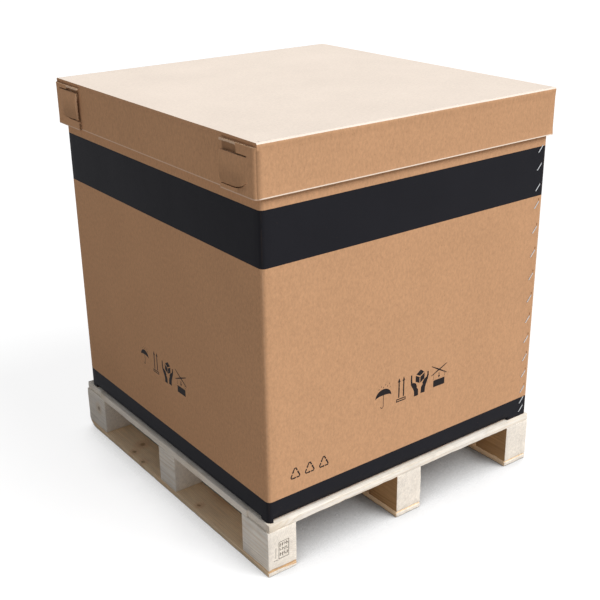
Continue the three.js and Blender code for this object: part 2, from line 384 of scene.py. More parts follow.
@dataclass(frozen=True)
class KraftBoard(Recipe):
    """The brown liner of corrugated board, with its fibres, flutes and scuffs, and with shade and highlights
    painted on it.
    """

    liner: Colour = srgb(203, 157, 119)
    dark_fibre: Colour = srgb(150, 106, 72)
    scuffed: Colour = srgb(226, 190, 158)
    cut_liner_and_highlight: Colour = srgb(250, 232, 214)
    ink: Colour = srgb(33, 33, 38)
    bands: tuple[PrintedBand, ...] = ()
    painted_shade_recesses: tuple[Recess, ...] = ()
    # Whether the straps' painted shade and light is read from the mesh.
    pressed: bool = False
    fold_half_x: float = 0.0
    fold_low_y: float = 0.0
    fold_high_y: float = 0.0
    worn_and_highlit_foot: float | None = None
    mottling: float = 0.5
    fold_wear: float = 5 * MM
    highlit_half_x: float = 400 * MM
    flute_pitch: float = 7.6 * MM
    flute_depth: float = 0.008 * MM
    across_flutes: tuple[float, float, float] = (1.0, 1.0, 0.0)

    def _paint(self, graph: Graph, place: Term) -> bpy.types.Material:
        """Lays the paper, its wear, its painted shades and highlight, and its printed bands."""
        x, y, z = graph.parts(place)

        cloudy = graph.noise(place, 7, 3)
        mottled = graph.noise(graph.stretched(place, (1, 1, 0.6)), 190, 4, 0.66)
        fibres = graph.noise(graph.stretched(place, (1, 1, 0.25)), 900, 2, 0.6)
        shade = 1.0 + (cloudy - 0.5) * 0.12 + ((mottled - 0.5) + (fibres - 0.5) * 0.5) * self.mottling
        # The straps' painted shade and light, read from the mesh's pressed layer.
        if self.pressed:
            shade = shade * graph.attribute("pressed", "Fac")
        colour = graph.shaded(self.liner, shade)
        fleck = graph.noise(graph.stretched(place, (1, 1, 0.4)), 420, 1, 0.5).rise(0.68, 0.78)
        colour = graph.mix(fleck * 0.35, colour, self.dark_fibre)

        along = x * self.across_flutes[0] + y * self.across_flutes[1] + z * self.across_flutes[2]
        flutes = (along * (2 * math.pi / self.flute_pitch)).sine()
        faint = graph.noise(place, 4, 1).rise(0.35, 0.75)
        colour = graph.mix(flutes.rise(-1, 1) * faint * 0.02, colour, self.scuffed)

        wear = graph.noise(place, 60, 4, 0.7)
        if self.fold_half_x:
            to_x = abs(x) - (self.fold_half_x - self.fold_wear)
            to_y = (y - self.fold_high_y).most(self.fold_low_y - y) + self.fold_wear
            fold = to_x.least(to_y).rise(0, 4 * MM) * wear.rise(0.3, 0.62)
            colour = graph.mix(fold * 0.55, colour, self.scuffed)
        # Pale line along the lid's foot: the worn cut liner, with a painted highlight where the flared edge
        # catches the light. The highlight is painted stronger on the front and rear flanges than on the
        # shaded sides.
        if self.worn_and_highlit_foot is not None:
            frayed = z + (wear - 0.5) * (1.2 * MM)
            foot = frayed.rise(self.worn_and_highlit_foot + 2.6 * MM, self.worn_and_highlit_foot + 2.0 * MM)
            fresh = abs(x).rise(self.highlit_half_x + MM, self.highlit_half_x - MM) * 0.5 + 0.4
            colour = graph.mix(foot * fresh, colour, self.cut_liner_and_highlight)
        # Painted shade: the board behind each strap's window is darkened by half.
        for recess in self.painted_shade_recesses:
            inside = y.between(recess.low_y, recess.high_y, MM) * z.between(recess.low_z, recess.high_z, MM)
            behind = abs(x).rise(recess.reach_x, recess.reach_x - MM)
            colour = graph.shaded(colour, 1 - inside * behind * 0.5)

        roughness = 0.82 + (mottled - 0.5) * 0.2
        relief = flutes * self.flute_depth + (fibres - 0.5) * (0.10 * MM) + (mottled - 0.5) * (0.14 * MM)
        relief = relief + (cloudy - 0.5) * (2.2 * MM)
        if self.bands:
            ragged = z + (graph.noise(place, 300, 3) - 0.5) * (0.7 * MM)
            covered: Term | None = None
            for band in self.bands:
                inside = ragged.between(band.low, band.high, 0.4 * MM)
                covered = inside if covered is None else covered.most(inside)
            pinholes = graph.noise(place, 700, 2, 0.6).rise(0.74, 0.8) * 0.35
            rubbed = fold * 0.06 if self.fold_half_x else 0.0
            covered = covered * (1 - pinholes) * (1 - rubbed)
            ink = graph.shaded(self.ink, 0.9 + (mottled - 0.5) * 0.3 + (cloudy - 0.5) * 0.3)
            colour = graph.mix(covered, colour, ink)
            roughness = roughness - covered * 0.16
        return graph.surface(colour, roughness, relief, specular=0.08)


@dataclass(frozen=True)
class RawEdge(Recipe):
    """The cut edge of corrugated board: two liners with a fluted web between, and painted shade in the
    hollows.

    The edge's own map runs along it in metres and across it from zero to one.
    """

    name: str = "raw_board_edge"
    paper: Colour = srgb(222, 186, 150)
    hollow_shade: Colour = srgb(112, 78, 54)
    pitch: float = 7.6 * MM
    liner_share: float = 0.10
    web_share: float = 0.09

    def _paint(self, graph: Graph, place: Term) -> bpy.types.Material:
        """Lays the two liners and the web that swings between them, over the painted shade of the hollows."""
        along, across, _ = graph.parts(graph.node("ShaderNodeUVMap", {"uv_map": "edge"}))
        wander = graph.noise(place, 160, 2) - 0.5
        swing = (along * (2 * math.pi / self.pitch) + wander * 3).sine() * (0.5 - self.liner_share)
        web = abs(across - 0.5 - swing * 0.8).rise(self.web_share * 1.5, self.web_share * 0.7)
        liner = abs(across - 0.5).rise(0.5 - self.liner_share * 1.3, 0.5 - self.liner_share * 0.7)
        solid = web.most(liner)
        crushed = graph.noise(place, 90, 3, 0.7).rise(0.42, 0.6)
        solid = solid.most(crushed * 0.75)
        # Painted shade: the hollows between the liners and the web are dark brown.
        colour = graph.mix(solid, self.hollow_shade, self.paper)
        colour = graph.shaded(colour, 0.85 + graph.noise(place, 500, 2) * 0.3)
        return graph.surface(colour, 0.95, solid * (0.5 * MM), specular=0.2)


@dataclass(frozen=True)
class Knot:
    """A knot that shows on a board's face, at a place in the part's frame."""

    place: tuple[float, float, float]
    radius: float


@dataclass(frozen=True)
class SawnPine(Recipe):
    """Rough sawn pine, with the rings of the log that the piece was cut from.

    The piece's attribute "log" holds its points in the log: two distances
    from the pith and one along the grain.
    """

    early: Colour
    late: Colour
    weathered: Colour
    knot: Colour = srgb(120, 82, 52)
    ring_pitch: float = 4.2 * MM
    ring_contrast: float = 0.5
    saw_pitch: float = 1.9 * MM
    saw_depth: float = 0.18 * MM
    knots: tuple[Knot, ...] = ()
    fresh: Colour = srgb(226, 186, 142)
    wane_slope: float = 0.0
    wane_line: float = 0.0

    def _paint(self, graph: Graph, place: Term) -> bpy.types.Material:
        """Lays the rings, knots, weathering and saw marks."""
        log_place = graph.attribute("log")
        u, v, w = graph.parts(log_place)
        long_grain = graph.stretched(log_place, (1, 1, 0.06))
        bend = graph.noise(graph.stretched(log_place, (1, 1, 0.12)), 9, 2) - 0.5

        cells = graph.vector(u * 9, w * 4.2, 0.0)
        settings = {"voronoi_dimensions": "2D"}
        distance = graph.node("ShaderNodeTexVoronoi", settings, {"Vector": cells, "Scale": 1.0})
        lottery, _, _ = graph.parts(Term(graph, distance.socket.node.outputs["Color"]))
        chosen = lottery.rise(0.80, 0.82)
        knotted = distance.rise(0.085, 0.05) * chosen
        halo = distance.rise(0.34, 0.05) * chosen
        uneven = (graph.noise(place, 140, 3, 0.7) - 0.5) * (13 * MM)
        for knot in self.knots:
            ends = {0: place, 1: knot.place}
            gap = graph.node("ShaderNodeVectorMath", {"operation": "DISTANCE"}, ends, "Value")
            knotted = knotted.most((gap + uneven).rise(knot.radius, knot.radius * 0.3) * 0.7)
            halo = halo.most((gap + uneven).rise(knot.radius * 3, knot.radius * 0.8))

        radius = (u * u + v * v).root() + bend * (22 * MM) + halo * (10 * MM)
        rings = (radius / self.ring_pitch).fraction()
        late = rings.rise(0.35, 0.92) * rings.rise(1.0, 0.94)
        pores = graph.noise(long_grain, 1400, 3, 0.65)
        streak = graph.noise(long_grain, 150, 3, 0.6)
        patch = graph.noise(log_place, 14, 3, 0.6)

        colour = graph.mix(late * self.ring_contrast, self.early, self.late)
        colour = graph.mix(patch.rise(0.42, 0.70) * 0.55, colour, self.weathered)
        colour = graph.mix(halo * 0.6, colour, self.late)
        colour = graph.mix(knotted * 0.8, colour, self.knot)
        if self.wane_slope:
            x, _, z = graph.parts(place)
            above = z + x * self.wane_slope + uneven * 0.12
            colour = graph.mix(above.rise(self.wane_line, self.wane_line + MM), colour, self.fresh)
        colour = graph.shaded(colour, 0.98 + (pores - 0.5) * 0.4 + (streak - 0.5) * 0.5)

        kerf = graph.noise(log_place, 24, 2)
        scratches = ((w + (u + v) * 0.55 + kerf * (9 * MM)) * (2 * math.pi / self.saw_pitch)).sine()
        torn = graph.noise(log_place, 30, 3, 0.6).rise(0.42, 0.66)
        relief = scratches * torn * self.saw_depth + (pores - 0.5) * (0.35 * MM)
        relief = relief + late * (0.12 * MM) + (streak - 0.5) * (0.5 * MM) - knotted * (0.3 * MM)
        return graph.surface(colour, 0.86, relief, specular=0.16)


@dataclass(frozen=True)
class FlatInk(Recipe):
    """Black printing ink that has sunk into the board."""

    name: str = "printed_mark_ink"
    ink: Colour = srgb(30, 26, 27)
    thin: Colour = srgb(74, 52, 40)

    def _paint(self, graph: Graph, place: Term) -> bpy.types.Material:
        """Lays the ink, thin where it is worn."""
        worn = graph.noise(place, 420, 3, 0.6).rise(0.55, 0.75)
        colour = graph.mix(worn * 0.5, self.ink, self.thin)
        return graph.surface(colour, 0.7 + worn * 0.15, specular=0.15)


@dataclass(frozen=True)
class NailSteel(Recipe):
    """Dull steel of a nail's head, with a little rust."""

    name: str = "nail_steel"
    steel: Colour = srgb(120, 118, 116)
    rust: Colour = srgb(112, 74, 50)

    def _paint(self, graph: Graph, place: Term) -> bpy.types.Material:
        """Lays the steel and its rust."""
        rusted = graph.noise(place, 600, 3, 0.6).rise(0.45, 0.62)
        colour = graph.mix(rusted, self.steel, self.rust)
        return graph.surface(colour, 0.4 + rusted * 0.4, rusted * (0.05 * MM), metallic=1 - rusted)


@dataclass(frozen=True)
class BrightWire(Recipe):
    """Bright galvanised wire with fine draw lines."""

    name: str = "galvanised_wire"
    zinc: Colour = srgb(214, 216, 218)
    dull: Colour = srgb(150, 152, 156)

    def _paint(self, graph: Graph, place: Term) -> bpy.types.Material:
        """Lays the zinc, its spangle and its draw lines."""
        spangle = graph.noise(place, 700, 3, 0.6)
        drawn = graph.noise(graph.stretched(place, (1, 1, 0.2)), 3000, 2)
        colour = graph.mix(spangle.rise(0.45, 0.75), self.zinc, self.dull)
        roughness = 0.26 + spangle * 0.22
        return graph.surface(colour, roughness, drawn * (0.03 * MM), metallic=1.0)


@dataclass
class Finishes:
    """Every material of the box, made once, with the places of its bands and of its painted shades."""

    low_band_top: float = 52 * MM
    high_band: Point = (573.5 * MM, 690.5 * MM)
    window_ends: Point = (52 * MM, 118 * MM)
    window_top: float = 11 * MM
    front_window_foot: float = 33 * MM
    rear_window_foot: float = 22 * MM
    window_reach: float = 0.4046
    wane_drop: float = 8 * MM
    wane_foot: float = 4 * MM

    def __post_init__(self) -> None:
        """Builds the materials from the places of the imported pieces."""
        self._board()
        self._pine()
        self.ink = FlatInk().make()
        self.stamp = FlatInk("stamp_ink", ink=srgb(104, 92, 78), thin=srgb(160, 148, 130)).make()
        # Painted shade: a darker brown patch beside each stitch stands for its dent.
        self.dent = FlatInk("painted_dent_shade", ink=srgb(142, 98, 64), thin=srgb(176, 130, 92)).make()
        self.wire = BrightWire().make()
        self.nail = NailSteel().make()

    def _board(self) -> None:
        """Builds the liners, the cut edges and the torn paper."""
        low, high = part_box("sleeve")
        self.sleeve_liner = KraftBoard(
            "sleeve_kraft_liner",
            bands=(
                PrintedBand(low.z, low.z + self.low_band_top),
                PrintedBand(low.z + self.high_band[0], low.z + self.high_band[1]),
            ),
            fold_half_x=high.x,
            fold_low_y=low.y,
            fold_high_y=high.y,
        ).make()
        self.sleeve_inner = KraftBoard("sleeve_inner_liner").make()
        low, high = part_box("lid")
        near, far = self.window_ends
        top = high.z - self.window_top
        # The windows of the straps, behind which the lid's liner has painted shade.
        windows = (
            Recess(low.y + near, low.y + far, high.z - self.front_window_foot, top, self.window_reach),
            Recess(high.y - far, high.y - near, high.z - self.rear_window_foot, top, self.window_reach),
        )
        self.lid_liner = KraftBoard(
            "lid_kraft_liner", worn_and_highlit_foot=low.z, flute_pitch=6.4 * MM, painted_shade_recesses=windows, pressed=True
        ).make()
        # The top's liner is painted paler than the sides' liner, standing in for the strong light on the top.
        # The front and rear fold crests get it too, as a painted highlight.
        self.sunlit_top = KraftBoard(
            "sunlit_top_liner",
            liner=srgb(252, 237, 222),
            dark_fibre=srgb(216, 192, 168),
            scuffed=srgb(246, 236, 226),
            across_flutes=(1.0, 0.0, 0.0),
            flute_depth=0.02 * MM,
            mottling=0.26,
        ).make()
        self.raw_edge = RawEdge().make()
        self.torn_paper = KraftBoard(
            "torn_paper",
            liner=srgb(226, 196, 168),
            dark_fibre=srgb(150, 106, 76),
            scuffed=srgb(248, 234, 218),
        ).make()

    def _pine(self) -> None:
        """Builds the pines: sides, tops of the bottom boards, fresh wood, a darker pine for painted shade on
        the blocks' inner faces, and ends.
        """
        self.pine_side = SawnPine(
            "sawn_pine_side",
            early=srgb(254, 247, 235),
            late=srgb(232, 214, 188),
            weathered=srgb(248, 243, 235),
            knots=(Knot((-0.402, 0.366, 0.073), 9 * MM), Knot((0.402, -0.012, 0.05), 8 * MM)),
        ).make()
        self.tan_pine_side = SawnPine(
            "tan_pine_side",
            early=srgb(255, 230, 194),
            late=srgb(232, 188, 144),
            weathered=srgb(250, 218, 180),
            knots=(
                Knot((-0.3915, 0.196, 0.014), 8 * MM),
                Knot((-0.3980, 0.138, 0.014), 7 * MM),
                Knot((-0.3560, 0.216, 0.014), 11 * MM),
                Knot((-0.3880, -0.118, 0.014), 6 * MM),
            ),
        ).make()
        self.fresh_pine = SawnPine(
            "fresh_cut_pine",
            early=srgb(206, 168, 124),
            late=srgb(192, 150, 106),
            weathered=srgb(210, 178, 140),
        ).make()
        # Painted shade: a darker brown pine for the blocks' inner faces, which lie in shade under the deck.
        self.shaded_inner_pine = SawnPine(
            "painted_shade_inner_pine",
            early=srgb(178, 140, 98),
            late=srgb(140, 102, 64),
            weathered=srgb(166, 132, 96),
        ).make()
        end_grain = SawnPine(
            "sawn_pine_end",
            early=srgb(250, 242, 230),
            late=srgb(228, 212, 190),
            weathered=srgb(238, 231, 220),
            ring_contrast=0.35,
            saw_depth=0.25 * MM,
        )
        self.pine_end = end_grain.make()
        low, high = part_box("bottom_board_left")
        slope = self.wane_drop / (high.x - low.x)
        self.waney_pine_end = replace(
            end_grain, name="waney_pine_end", wane_slope=slope, wane_line=self.wane_foot + high.x * slope
        ).make()


def clamped(value: float) -> float:
    """A number kept between zero and one."""
    return min(1.0, max(0.0, value))


def in_scene(name: str, data: bpy.types.ID) -> bpy.types.Object:
    """Makes an object of a mesh, a camera or a light, and links it into the scene."""
    made = bpy.data.objects.new(name, data)
    bpy.context.scene.collection.objects.link(made)
    return made


class Workpiece:
    """A piece under construction, as a mesh in the part's frame."""

    def __init__(self) -> None:
        """Starts with nothing."""
        self.mesh = bmesh.new()

    @classmethod
    def cut_again(cls, node: str) -> "Workpiece":
        """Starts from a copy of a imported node, its loose triangles joined into flat faces.

        Args:
            node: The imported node's name.

        Returns:
            The piece, which has the node's form.
        """
        piece = cls()
        piece.mesh.from_mesh(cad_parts[node].data)
        bmesh.ops.remove_doubles(piece.mesh, verts=piece.mesh.verts[:], dist=JOIN_DISTANCE)
        bmesh.ops.dissolve_limit(
            piece.mesh, angle_limit=FLAT_ANGLE, verts=piece.mesh.verts[:], edges=piece.mesh.edges[:]
        )
        return piece

    def ease_edges(self, width: float, segments: int) -> None:
        """Rounds the sharp edges over.

        Args:
            width: How far the rounding reaches from the edge.
            segments: How many faces it has.
        """
        sharp = [
            edge
            for edge in self.mesh.edges
            if len(edge.link_faces) == 2 and edge.calc_face_angle() > SMOOTH_ANGLE
        ]
        bmesh.ops.bevel(
            self.mesh,
            geom=sharp,
            offset=width,
            segments=segments,
            profile=0.5,
            affect="EDGES",
            material=-1,
            clamp_overlap=True,
        )

    def slice(self, axis: Axis, places: Iterable[float]) -> None:
        """Cuts new edges where flat planes cross the piece, so that it can bend there.

        Args:
            axis: The axis that the planes stand across.
            places: Where the planes cross it.
        """
        for place in places:
            bmesh.ops.bisect_plane(
                self.mesh,
                geom=[*self.mesh.verts, *self.mesh.edges, *self.mesh.faces],
                dist=JOIN_DISTANCE,
                plane_co=axis.direction * place,
                plane_no=axis.direction,
            )

    def slice_evenly(self, low: Vector, high: Vector, step: float) -> None:
        """Slices the piece across every axis, at even steps between two corners."""
        for axis in Axis:
            self.slice(axis, spaced(low[axis.value], high[axis.value], step))

    def move(self, shift: Callable[[Vector], Vector]) -> None:
        """Moves every point by what a function of its place says."""
        for vertex in self.mesh.verts:
            vertex.co = vertex.co + shift(vertex.co.copy())

    def finished(
        self,
        name: str,
        body: Body,
        slot: Slot,
        materials: Sequence[bpy.types.Material],
        replaces: Sequence[str] = (),
    ) -> bpy.types.Object:
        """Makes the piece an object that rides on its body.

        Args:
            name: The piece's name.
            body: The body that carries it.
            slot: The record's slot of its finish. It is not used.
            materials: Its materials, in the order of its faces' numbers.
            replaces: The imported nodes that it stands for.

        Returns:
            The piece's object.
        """
        data = bpy.data.meshes.new(name)
        self.mesh.normal_update()
        self.mesh.to_mesh(data)
        self.mesh.free()
        for material in materials:
            data.materials.append(material)
        data.shade_smooth()
        data.set_sharp_from_angle(angle=SMOOTH_ANGLE)
        made = in_scene(name, data)
        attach(made, body.value)
        if replaces:
            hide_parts(*replaces)
        log.info("%s: %d faces", name, len(data.polygons))
        return made


def spaced(low: float, high: float, pitch: float) -> list[float]:
    """Places between two ends, at even steps no wider than a pitch.

    Args:
        low: The first end.
        high: The second end.
        pitch: The widest step.

    Returns:
        The places, without the two ends.
    """
    count = max(1, math.ceil((high - low) / pitch))
    return [low + (high - low) * step / count for step in range(1, count)]


@dataclass
class Studio:
    """The camera, the lamp, the world and the floor."""

    camera_place: Vector = field(default_factory=lambda: Vector((-1.41766, -1.92348, 1.39375)))
    camera_yaw: float = math.radians(36.484)
    camera_pitch: float = math.radians(22.516)
    camera_roll: float = math.radians(-0.749)
    picture_size: int = 600
    sensor_width: float = 36.0
    clip_end: float = 200.0
    focal_pixels: float = 1027.41
    sun_from: Vector = field(default_factory=lambda: Vector((0.36, -0.66, 0.797)))
    sun_strength: float = 2.85
    sun_spread: float = math.radians(32)
    sky_strength: float = 0.27
    floor_reach: float = 40.0
    floor_depth: float = 1 * MM
    floor_shade_reach: float = 0.25

    def build(self) -> None:
        """Makes the whole studio."""
        bpy.context.scene.view_settings.view_transform = "Standard"
        self._camera()
        self._sun()
        self._world()
        self._floor()

    def _camera(self) -> None:
        """Stands the camera where the photograph was taken from."""
        yaw, pitch, roll = self.camera_yaw, self.camera_pitch, self.camera_roll
        ahead = Vector((math.sin(yaw) * math.cos(pitch), math.cos(yaw) * math.cos(pitch), -math.sin(pitch)))
        level = Vector((math.cos(yaw), -math.sin(yaw), 0))
        up = level.cross(ahead)
        right = level * math.cos(roll) + up * math.sin(roll)
        top = up * math.cos(roll) - level * math.sin(roll)
        data = bpy.data.cameras.new("camera")
        data.sensor_width = self.sensor_width
        data.lens = data.sensor_width * self.focal_pixels / self.picture_size
        data.clip_end = self.clip_end
        camera = in_scene("camera", data)
        turned = Matrix((right, top, -ahead)).transposed().to_4x4()
        camera.matrix_world = Matrix.Translation(self.camera_place) @ turned
        bpy.context.scene.camera = camera

    def _sun(self) -> None:
        """Hangs one broad lamp in front, to the right and above."""
        data = bpy.data.lights.new("broad_lamp", "SUN")
        data.energy = self.sun_strength
        data.angle = self.sun_spread
        lamp = in_scene("broad_lamp", data)
        lamp.rotation_mode = "QUATERNION"
        lamp.rotation_quaternion = self.sun_from.to_track_quat("Z", "Y")

    def _seen(self, graph: Graph) -> Term:
        """One for rays from the camera, in a mirror or through glass."""
        path = graph.node("ShaderNodeLightPath").socket.node.outputs
        rays = [Term(graph, path[name]) for name in ("Is Camera Ray", "Is Glossy Ray", "Is Transmission Ray")]
        return rays[0].most(rays[1]).most(rays[2])

    def _world(self) -> None:
        """Fills the studio with even light, which shows as white."""
        world = bpy.data.worlds.new("white_studio")
        world.use_nodes = True
        graph = Graph(world.node_tree)
        sky = {"Color": srgb(248, 250, 255), "Strength": self.sky_strength}
        light = graph.node("ShaderNodeBackground", inputs=sky)
        white = graph.node("ShaderNodeBackground", inputs={"Color": srgb(255, 255, 255), "Strength": 1.0})
        both = graph.node("ShaderNodeMixShader", inputs={0: self._seen(graph), 1: light, 2: white})
        graph.end("ShaderNodeOutputWorld", both)
        bpy.context.scene.world = world

    def _floor(self) -> None:
        """Lays a pale floor, which shows as white by its glow and keeps the lamp's shadow. The glow is dimmed
        by ambient occlusion, a painted shadow near and under the box.
        """
        graph = Graph.of_material("pale_floor")
        bounced = graph.node("ShaderNodeBsdfDiffuse", inputs={"Color": srgb(206, 202, 198)})
        shaded = graph.node("ShaderNodeBsdfDiffuse", inputs={"Color": (0.26, 0.26, 0.26, 1)})
        reach = {"Distance": self.floor_shade_reach}
        # Painted shadow: the glow fades where the floor is hidden from the open sky.
        open_sky = graph.node("ShaderNodeAmbientOcclusion", {"samples": 8}, reach, "AO")
        glowing = {"Color": srgb(255, 255, 255), "Strength": open_sky.rise(0.15, 0.75) * 0.86}
        glow = graph.node("ShaderNodeEmission", inputs=glowing)
        shown = graph.node("ShaderNodeAddShader", inputs={0: shaded, 1: glow})
        both = graph.node("ShaderNodeMixShader", inputs={0: self._seen(graph), 1: bounced, 2: shown})
        graph.end("ShaderNodeOutputMaterial", both)
        mesh = bmesh.new()
        bmesh.ops.create_grid(mesh, x_segments=1, y_segments=1, size=self.floor_reach)
        bmesh.ops.translate(mesh, vec=(0, 0, -self.floor_depth), verts=mesh.verts)
        data = bpy.data.meshes.new("floor")
        mesh.to_mesh(data)
        mesh.free()
        data.materials.append(graph.material)
        floor = in_scene("floor", data)


class PineFace(IntEnum):
    """The numbers of a timber piece's materials."""

    SIDE = 0
    END = 1
    FRESH = 2
    AGED = 3
    WANEY_END = 4


@dataclass
class Timber:
    """One sawn piece of the pallet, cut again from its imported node."""

    node: str
    grain: Axis
    seed: int
    inner_half: float = 390 * MM
    edge_ease: float = 1.4 * MM
    edge_step: float = 14 * MM
    edge_wear: float = 0.9 * MM
    wear_scales: Point = (55, 190)
    pith_reach: Point = (35, 95)
    log_reach: float = 3
    end_facing: float = 0.75
    slope_facing: Point = (0.35, 0.93)
    least_slope: float = 4 * MM * MM

    def build(self, finishes: Finishes) -> bpy.types.Object:
        """Cuts the piece, wears its edges and gives it its place in the log.

        Args:
            finishes: The box's materials.

        Returns:
            The piece's object.
        """
        piece = Workpiece.cut_again(self.node)
        low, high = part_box(self.node)
        piece.ease_edges(self.edge_ease, 2)
        piece.slice_evenly(low, high, self.edge_step)
        centre = (low + high) / 2
        half = (high - low) / 2

        def worn(point: Vector) -> Vector:
            """Pulls the points near an edge inwards by an uneven amount."""
            gaps = [half[i] - abs(point[i] - centre[i]) for i in range(3)]
            near = [gap < self.edge_ease * 1.2 for gap in gaps]
            if sum(near) < 2:
                return Vector((0, 0, 0))
            chance = noise.noise(point * self.wear_scales[0] + Vector((self.seed, 0, 0)))
            fine = noise.noise(point * self.wear_scales[1] + Vector((0, self.seed, 0)))
            depth = self.edge_wear * max(0.0, 0.08 + chance * 1.1 + fine * 0.35)
            return Vector([math.copysign(depth * near[i], centre[i] - point[i]) for i in range(3)])

        piece.move(worn)
        self._place_in_log(piece, centre)
        self._mark_faces(piece)
        tan = self.node.startswith("bottom_board")
        return piece.finished(
            f"sawn_{self.node}",
            Body.PALLET_BOX,
            Slot.TIMBER,
            [
                finishes.tan_pine_side if tan else finishes.pine_side,
                finishes.pine_end,
                finishes.fresh_pine,
                finishes.shaded_inner_pine,
                finishes.waney_pine_end,
            ],
            [self.node],
        )

    def _mark_faces(self, piece: Workpiece) -> None:
        """Gives sides, ends, the worn heel's slope and the blocks' inner faces their own pine. The inner
        faces' darker pine is painted shade.
        """
        waney = self.node == "bottom_board_left"
        block = self.node.startswith("block_")
        least, most = self.slope_facing
        for face in piece.mesh.faces:
            face.normal_update()
            normal = face.normal
            cut_across = abs(normal[self.grain.value]) > self.end_facing
            face.material_index = PineFace.END if cut_across else PineFace.SIDE
            sloped = least < abs(normal.y) < most and normal.z > least
            if waney and sloped and face.calc_area() > self.least_slope:
                face.material_index = PineFace.FRESH
            if waney and normal.y < -most:
                face.material_index = PineFace.WANEY_END
            # The blocks' inner faces get the darker pine as painted shade.
            if block and abs(normal.x) > SQUARE_ON and abs(face.calc_center_median().x) < self.inner_half:
                face.material_index = PineFace.AGED

    def _place_in_log(self, piece: Workpiece, centre: Vector) -> None:
        """Stores each point's distances from the log's pith and its place along it."""
        draw = random.Random(self.seed)
        angle = draw.uniform(0, math.tau)
        reach = draw.uniform(*self.pith_reach) * MM
        pith = (math.cos(angle) * reach, math.sin(angle) * reach)
        start = draw.uniform(-self.log_reach, self.log_reach)
        first, second = [axis.value for axis in Axis if axis is not self.grain]
        layer = piece.mesh.verts.layers.float_vector.new("log")
        for vertex in piece.mesh.verts:
            offset = vertex.co - centre
            along = offset[self.grain.value] + start
            vertex[layer] = Vector((offset[first] - pith[0], offset[second] - pith[1], along))


@dataclass
class Pallet:
    """The nine-block pallet."""

    finishes: Finishes
    columns: tuple[str, ...] = ("left", "middle", "right")
    rows: tuple[str, ...] = ("front", "middle", "rear")
    first_seed: int = 11
    nail_head: float = 7 * MM
    nail_taper: float = 0.4 * MM
    nail_height: float = 1.2 * MM
    nail_inset: float = 9 * MM
    nail_shares: Point = (0.25, 0.75)
    nail_stray: Point = (4, 1.5)

    def build(self) -> None:
        """Makes every board and block."""
        timbers = [(f"bottom_board_{column}", Axis.Y) for column in self.columns]
        timbers += [(f"block_{row}_{column}", Axis.Y) for column in self.columns for row in self.rows]
        timbers += [("lead_board_front", Axis.X), ("lead_board_rear", Axis.X)]
        timbers += [(f"deck_board_{column}", Axis.Y) for column in self.columns]
        for seed, (node, grain) in enumerate(timbers, start=self.first_seed):
            Timber(node, grain, seed).build(self.finishes)
        self._nails()

    def _nails(self) -> None:
        """Drives the nails that show on the rear lead board, behind the sleeve."""
        draw = random.Random(3)
        piece = Workpiece()
        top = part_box("lead_board_rear")[1].z
        for column in self.columns:
            low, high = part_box(f"block_rear_{column}")
            for share in self.nail_shares:
                place = Vector((low.x + (high.x - low.x) * share, high.y - self.nail_inset, top))
                strays = [draw.uniform(-stray, stray) for stray in self.nail_stray]
                place += Vector((*strays, 0)) * MM
                head = bmesh.ops.create_cone(
                    piece.mesh,
                    cap_ends=True,
                    segments=20,
                    radius1=self.nail_head / 2,
                    radius2=self.nail_head / 2 - self.nail_taper,
                    depth=self.nail_height,
                )
                bmesh.ops.translate(piece.mesh, vec=place, verts=head["verts"])
        piece.finished("deck_nails", Body.PALLET_BOX, Slot.STITCH_WIRE, [self.finishes.nail])


class SleeveFace(IntEnum):
    """The numbers of the sleeve's materials."""

    LINER = 0
    RAW_EDGE = 1
    INNER = 2


